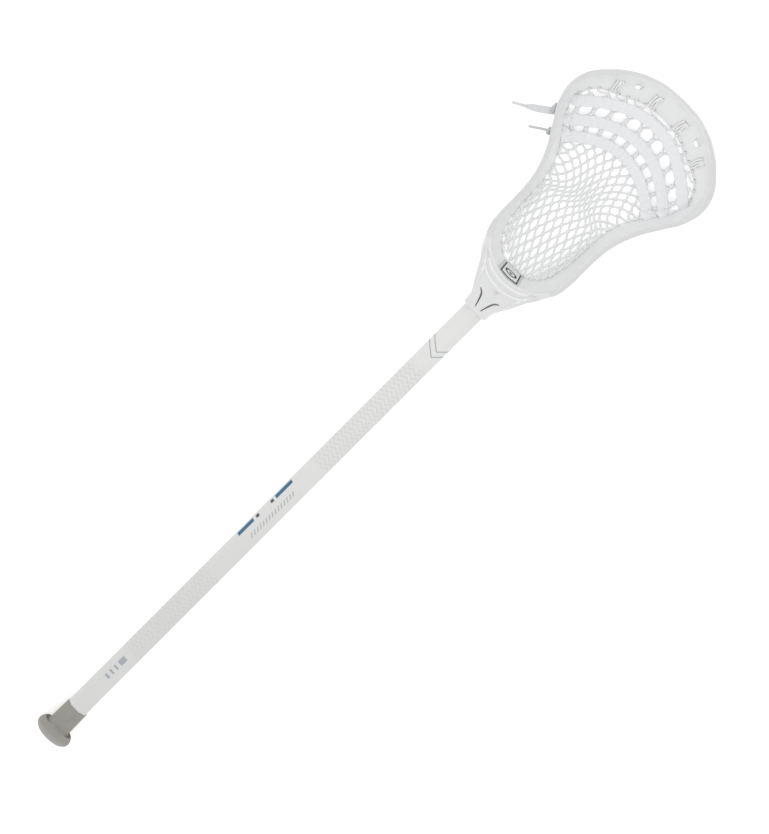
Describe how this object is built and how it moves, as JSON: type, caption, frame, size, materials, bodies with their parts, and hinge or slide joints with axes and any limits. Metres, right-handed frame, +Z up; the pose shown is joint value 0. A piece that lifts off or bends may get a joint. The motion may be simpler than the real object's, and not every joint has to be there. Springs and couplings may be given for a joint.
{
  "type": "lacrosse stick",
  "caption": "Lacrosse stick: octagonal alloy shaft with a rubber end cap, moulded head with an open scoop, foam ball stop, diamond net and flat shooting laces.",
  "frame": {"origin": "on the floor under the middle of the stick, which lies face up", "axes": "+Z up, out of the open face of the head; +Y along the stick from the butt to the scoop; +X to the right of the head seen from above with the scoop away"},
  "size_m": [0.2139, 0.9403, 0.0495],
  "materials": {
    "shaft_coating": "white satin coating on an alloy tube",
    "cap_rubber": "warm grey matt rubber",
    "screw_steel": "plain bright steel",
    "head_plastic": "white moulded nylon, satin",
    "stop_foam": "white closed-cell foam, matt",
    "label_film": "white film with a plain black outline",
    "net_nylon": "white knitted nylon cord",
    "lace_nylon": "white flat woven lace",
    "string_nylon": "white braided nylon cord",
    "aglet_plastic": "clear white tip, satin"
  },
  "bodies": {
    "stick": {"shaft_tube": "shaft_coating", "head_frame": "head_plastic", "ball_stop_pad": "stop_foam", "ball_stop_label": "label_film", "mesh_pocket": "net_nylon", "upper_shooting_lace": "lace_nylon", "middle_shooting_lace": "lace_nylon", "lower_shooting_lace": "lace_nylon", "top_string": "string_nylon", "left_sidewall_string": "string_nylon", "right_sidewall_string": "string_nylon", "bottom_string": "string_nylon", "lace_tail": "lace_nylon", "lace_tail_aglet": "aglet_plastic", "string_tail": "string_nylon"},
    "end_cap": {"end_cap": "cap_rubber"},
    "head_screw": {"head_screw": "screw_steel"}
  },
  "joints": [
    {"name": "end_cap_pull", "type": "slide", "parent": "stick", "child": "end_cap", "axis": [0, -0.9997, -0.0227], "range_m": [0, 0.042]},
    {"name": "head_screw_turn", "type": "hinge", "parent": "stick", "child": "head_screw", "pos_m": [0, 0.18219, 0.0197], "axis": [0, 0.0227, -0.9997], "continuous": true}
  ]
}
